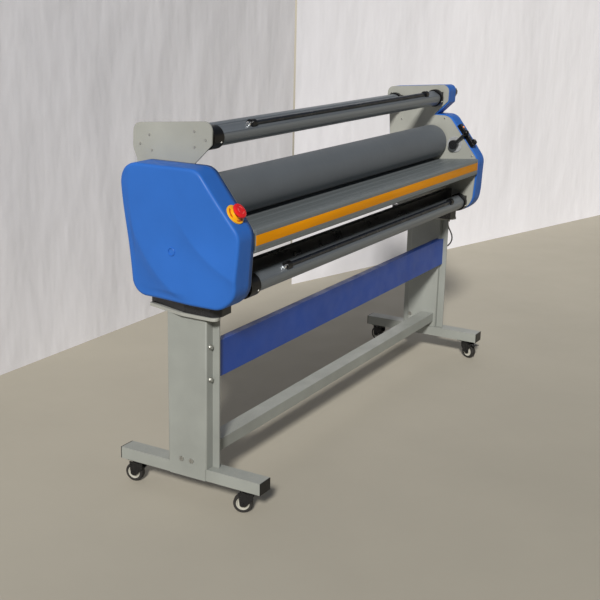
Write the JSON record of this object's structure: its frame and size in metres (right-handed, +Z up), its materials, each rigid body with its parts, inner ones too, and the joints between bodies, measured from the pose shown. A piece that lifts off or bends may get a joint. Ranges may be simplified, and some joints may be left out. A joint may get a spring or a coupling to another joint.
{
  "type": "cold roll laminator",
  "caption": "Floor-standing cold roll laminator: press rollers and film shafts between two side cabinets, on pressed-steel legs with swivel casters.",
  "frame": {"origin": "on the floor under the middle of the machine", "axes": "+X along the rollers to the operator's right, +Y away from the operator, +Z up"},
  "size_m": [2.036, 0.553, 1.2146],
  "materials": {
    "grey_paint": "warm grey powder coat, fine texture",
    "blue_paint": "blue powder coat",
    "blue_shell": "blue moulded cover, satin gloss",
    "black_paint": "black powder coat",
    "black_plastic": "black moulded plastic",
    "zinc_steel": "zinc plated fasteners",
    "steel": "machined steel",
    "extrusion": "grey anodised extrusion",
    "amber_strip": "amber inlay",
    "motor_paint": "dark grey motor enamel",
    "yellow_plastic": "yellow stop button base",
    "red_plastic": "red mushroom button",
    "amber_plastic": "amber rocker",
    "cable_jacket": "black cable jacket",
    "silicone": "dark grey silicone, satin",
    "grip_rubber": "dark grip bar",
    "caster_wheel": "dark tyre on an off-white wheel"
  },
  "bodies": {
    "machine_frame": {"foot_tubes": "grey_paint", "foot_end_caps": "black_plastic", "leg_outer_channels": "grey_paint", "leg_inner_channels": "grey_paint", "leg_top_plates": "grey_paint", "cross_panel": "blue_paint", "lower_crossbar": "grey_paint", "machine_fasteners": "zinc_steel", "caster_plates": "black_paint", "base_blocks": "black_paint", "left_side_plate": "grey_paint", "right_side_plate": "grey_paint", "left_cover": "blue_shell", "right_cover": "blue_shell", "right_arm_cover": "blue_shell", "shaft_holders": "black_plastic", "lower_roller_bearings": "steel", "lever_bush": "steel", "feed_table": "extrusion", "table_stripe": "amber_strip", "front_beam": "black_paint", "rear_beam": "black_paint", "drive_motor": "motor_paint", "drive_chain": "steel", "motor_controller": "extrusion", "control_panel": "black_plastic", "stop_base": "yellow_plastic", "cable_glands": "black_plastic", "power_cable": "cable_jacket"},
    "front_left_caster": {"front_left_caster_fork": "black_paint"},
    "front_left_wheel": {"front_left_caster_wheel": "caster_wheel"},
    "front_right_caster": {"front_right_caster_fork": "black_paint"},
    "front_right_wheel": {"front_right_caster_wheel": "caster_wheel"},
    "rear_left_caster": {"rear_left_caster_fork": "black_paint"},
    "rear_left_wheel": {"rear_left_caster_wheel": "caster_wheel"},
    "rear_right_caster": {"rear_right_caster_fork": "black_paint"},
    "rear_right_wheel": {"rear_right_caster_wheel": "caster_wheel"},
    "brake_pedal": {"brake_pedal": "black_plastic"},
    "pressure_lever": {"pressure_lever": "black_paint", "lever_ball": "black_plastic"},
    "lift_wedges": {"lift_wedges": "steel"},
    "lift_shaft": {"lift_shaft": "steel"},
    "lift_carriage": {"lift_blocks": "steel"},
    "top_roller": {"top_roller_sleeve": "silicone", "top_roller_shaft": "steel"},
    "bottom_roller": {"bottom_roller_sleeve": "silicone", "bottom_roller_shaft": "steel", "roller_sprocket": "steel"},
    "motor_sprocket": {"motor_sprocket": "steel"},
    "supply_shaft": {"supply_shaft": "extrusion", "supply_grip_bar": "grip_rubber", "supply_collars": "black_plastic"},
    "rear_shaft": {"rear_shaft": "extrusion"},
    "takeup_shaft": {"takeup_shaft": "extrusion", "takeup_grip_bar": "grip_rubber", "takeup_collars": "black_plastic"},
    "stop_button": {"stop_button": "red_plastic"},
    "speed_knob": {"speed_knob": "black_plastic"},
    "power_switch": {"power_switch": "amber_plastic"},
    "tension_knob": {"tension_knob": "black_plastic"}
  },
  "joints": [
    {"name": "front_left_swivel", "type": "hinge", "parent": "machine_frame", "child": "front_left_caster", "pos_m": [-0.923, -0.215, 0.0705], "axis": [0, 0, 1], "continuous": true},
    {"name": "front_left_roll", "type": "hinge", "parent": "front_left_caster", "child": "front_left_wheel", "pos_m": [-0.93114, -0.19673, 0.0315], "axis": [0.9135, 0.4067, 0], "continuous": true},
    {"name": "front_right_swivel", "type": "hinge", "parent": "machine_frame", "child": "front_right_caster", "pos_m": [0.923, -0.215, 0.0705], "axis": [0, 0, 1], "continuous": true},
    {"name": "front_right_roll", "type": "hinge", "parent": "front_right_caster", "child": "front_right_wheel", "pos_m": [0.91616, -0.23379, 0.0315], "axis": [-0.9397, 0.342, 0], "continuous": true},
    {"name": "rear_left_swivel", "type": "hinge", "parent": "machine_frame", "child": "rear_left_caster", "pos_m": [-0.923, 0.215, 0.0705], "axis": [0, 0, 1], "continuous": true},
    {"name": "rear_left_roll", "type": "hinge", "parent": "rear_left_caster", "child": "rear_left_wheel", "pos_m": [-0.92578, 0.23481, 0.0315], "axis": [0.9903, 0.1392, 0], "continuous": true},
    {"name": "rear_right_swivel", "type": "hinge", "parent": "machine_frame", "child": "rear_right_caster", "pos_m": [0.923, 0.215, 0.0705], "axis": [0, 0, 1], "continuous": true},
    {"name": "rear_right_roll", "type": "hinge", "parent": "rear_right_caster", "child": "rear_right_wheel", "pos_m": [0.92984, 0.23379, 0.0315], "axis": [0.9397, -0.342, 0], "continuous": true},
    {"name": "brake_press", "type": "hinge", "parent": "front_right_caster", "child": "brake_pedal", "pos_m": [0.91377, -0.24037, 0.06], "axis": [-0.9397, 0.342, 0], "range_deg": [-12, 0]},
    {"name": "pressure_lever_turn", "type": "hinge", "parent": "machine_frame", "child": "pressure_lever", "pos_m": [0.891, -0.11, 0.963], "axis": [1, 0, 0], "range_deg": [-60.02, 0]},
    {"name": "lift_wedge_slide", "type": "slide", "parent": "machine_frame", "child": "lift_wedges", "axis": [0, -1, 0], "range_m": [0, 0.03603]},
    {"name": "lift_shaft_turn", "type": "hinge", "parent": "machine_frame", "child": "lift_shaft", "pos_m": [0, 0.118, 0.9536], "axis": [1, 0, 0], "range_deg": [-82.6, 0]},
    {"name": "top_roller_lift", "type": "slide", "parent": "machine_frame", "child": "lift_carriage", "axis": [0, 0, 1], "range_m": [0, 0.024]},
    {"name": "top_roller_turn", "type": "hinge", "parent": "lift_carriage", "child": "top_roller", "pos_m": [0, -0.004, 0.969], "axis": [1, 0, 0], "continuous": true},
    {"name": "bottom_roller_turn", "type": "hinge", "parent": "machine_frame", "child": "bottom_roller", "pos_m": [0, -0.004, 0.823], "axis": [1, 0, 0], "continuous": true},
    {"name": "motor_sprocket_turn", "type": "hinge", "parent": "machine_frame", "child": "motor_sprocket", "pos_m": [-0.93, 0.095, 0.755], "axis": [1, 0, 0], "continuous": true},
    {"name": "supply_shaft_turn", "type": "hinge", "parent": "machine_frame", "child": "supply_shaft", "pos_m": [0, -0.018, 1.16], "axis": [1, 0, 0], "continuous": true},
    {"name": "rear_shaft_turn", "type": "hinge", "parent": "machine_frame", "child": "rear_shaft", "pos_m": [0, 0.172, 1.135], "axis": [1, 0, 0], "continuous": true},
    {"name": "takeup_shaft_turn", "type": "hinge", "parent": "machine_frame", "child": "takeup_shaft", "pos_m": [0, -0.155, 0.718], "axis": [1, 0, 0], "continuous": true},
    {"name": "stop_button_push", "type": "slide", "parent": "machine_frame", "child": "stop_button", "axis": [0, 0.788, -0.6157], "range_m": [0, 0.006], "stiffness_N_per_m": 500, "springref_m": -0.004},
    {"name": "speed_knob_turn", "type": "hinge", "parent": "machine_frame", "child": "speed_knob", "pos_m": [0.932, -0.18781, 0.97639], "axis": [0, -0.788, 0.6157], "range_deg": [-140, 140]},
    {"name": "power_switch_rock", "type": "hinge", "parent": "machine_frame", "child": "power_switch", "pos_m": [0.932, -0.16685, 0.99428], "axis": [1, 0, 0], "range_deg": [0, 8]},
    {"name": "tension_knob_turn", "type": "hinge", "parent": "machine_frame", "child": "tension_knob", "pos_m": [0.996, -0.04, 1.178], "axis": [1, 0, 0], "range_deg": [-180, 180]}
  ],
  "couplings": [
    {"joint": "pressure_lever_turn", "follows": "top_roller_lift", "rad_per_m": -43.633},
    {"joint": "lift_wedge_slide", "follows": "top_roller_lift", "ratio": 1.501},
    {"joint": "lift_shaft_turn", "follows": "top_roller_lift", "rad_per_m": -60.039},
    {"joint": "top_roller_turn", "follows": "bottom_roller_turn", "ratio": -1},
    {"joint": "motor_sprocket_turn", "follows": "bottom_roller_turn", "ratio": 2.1429}
  ]
}
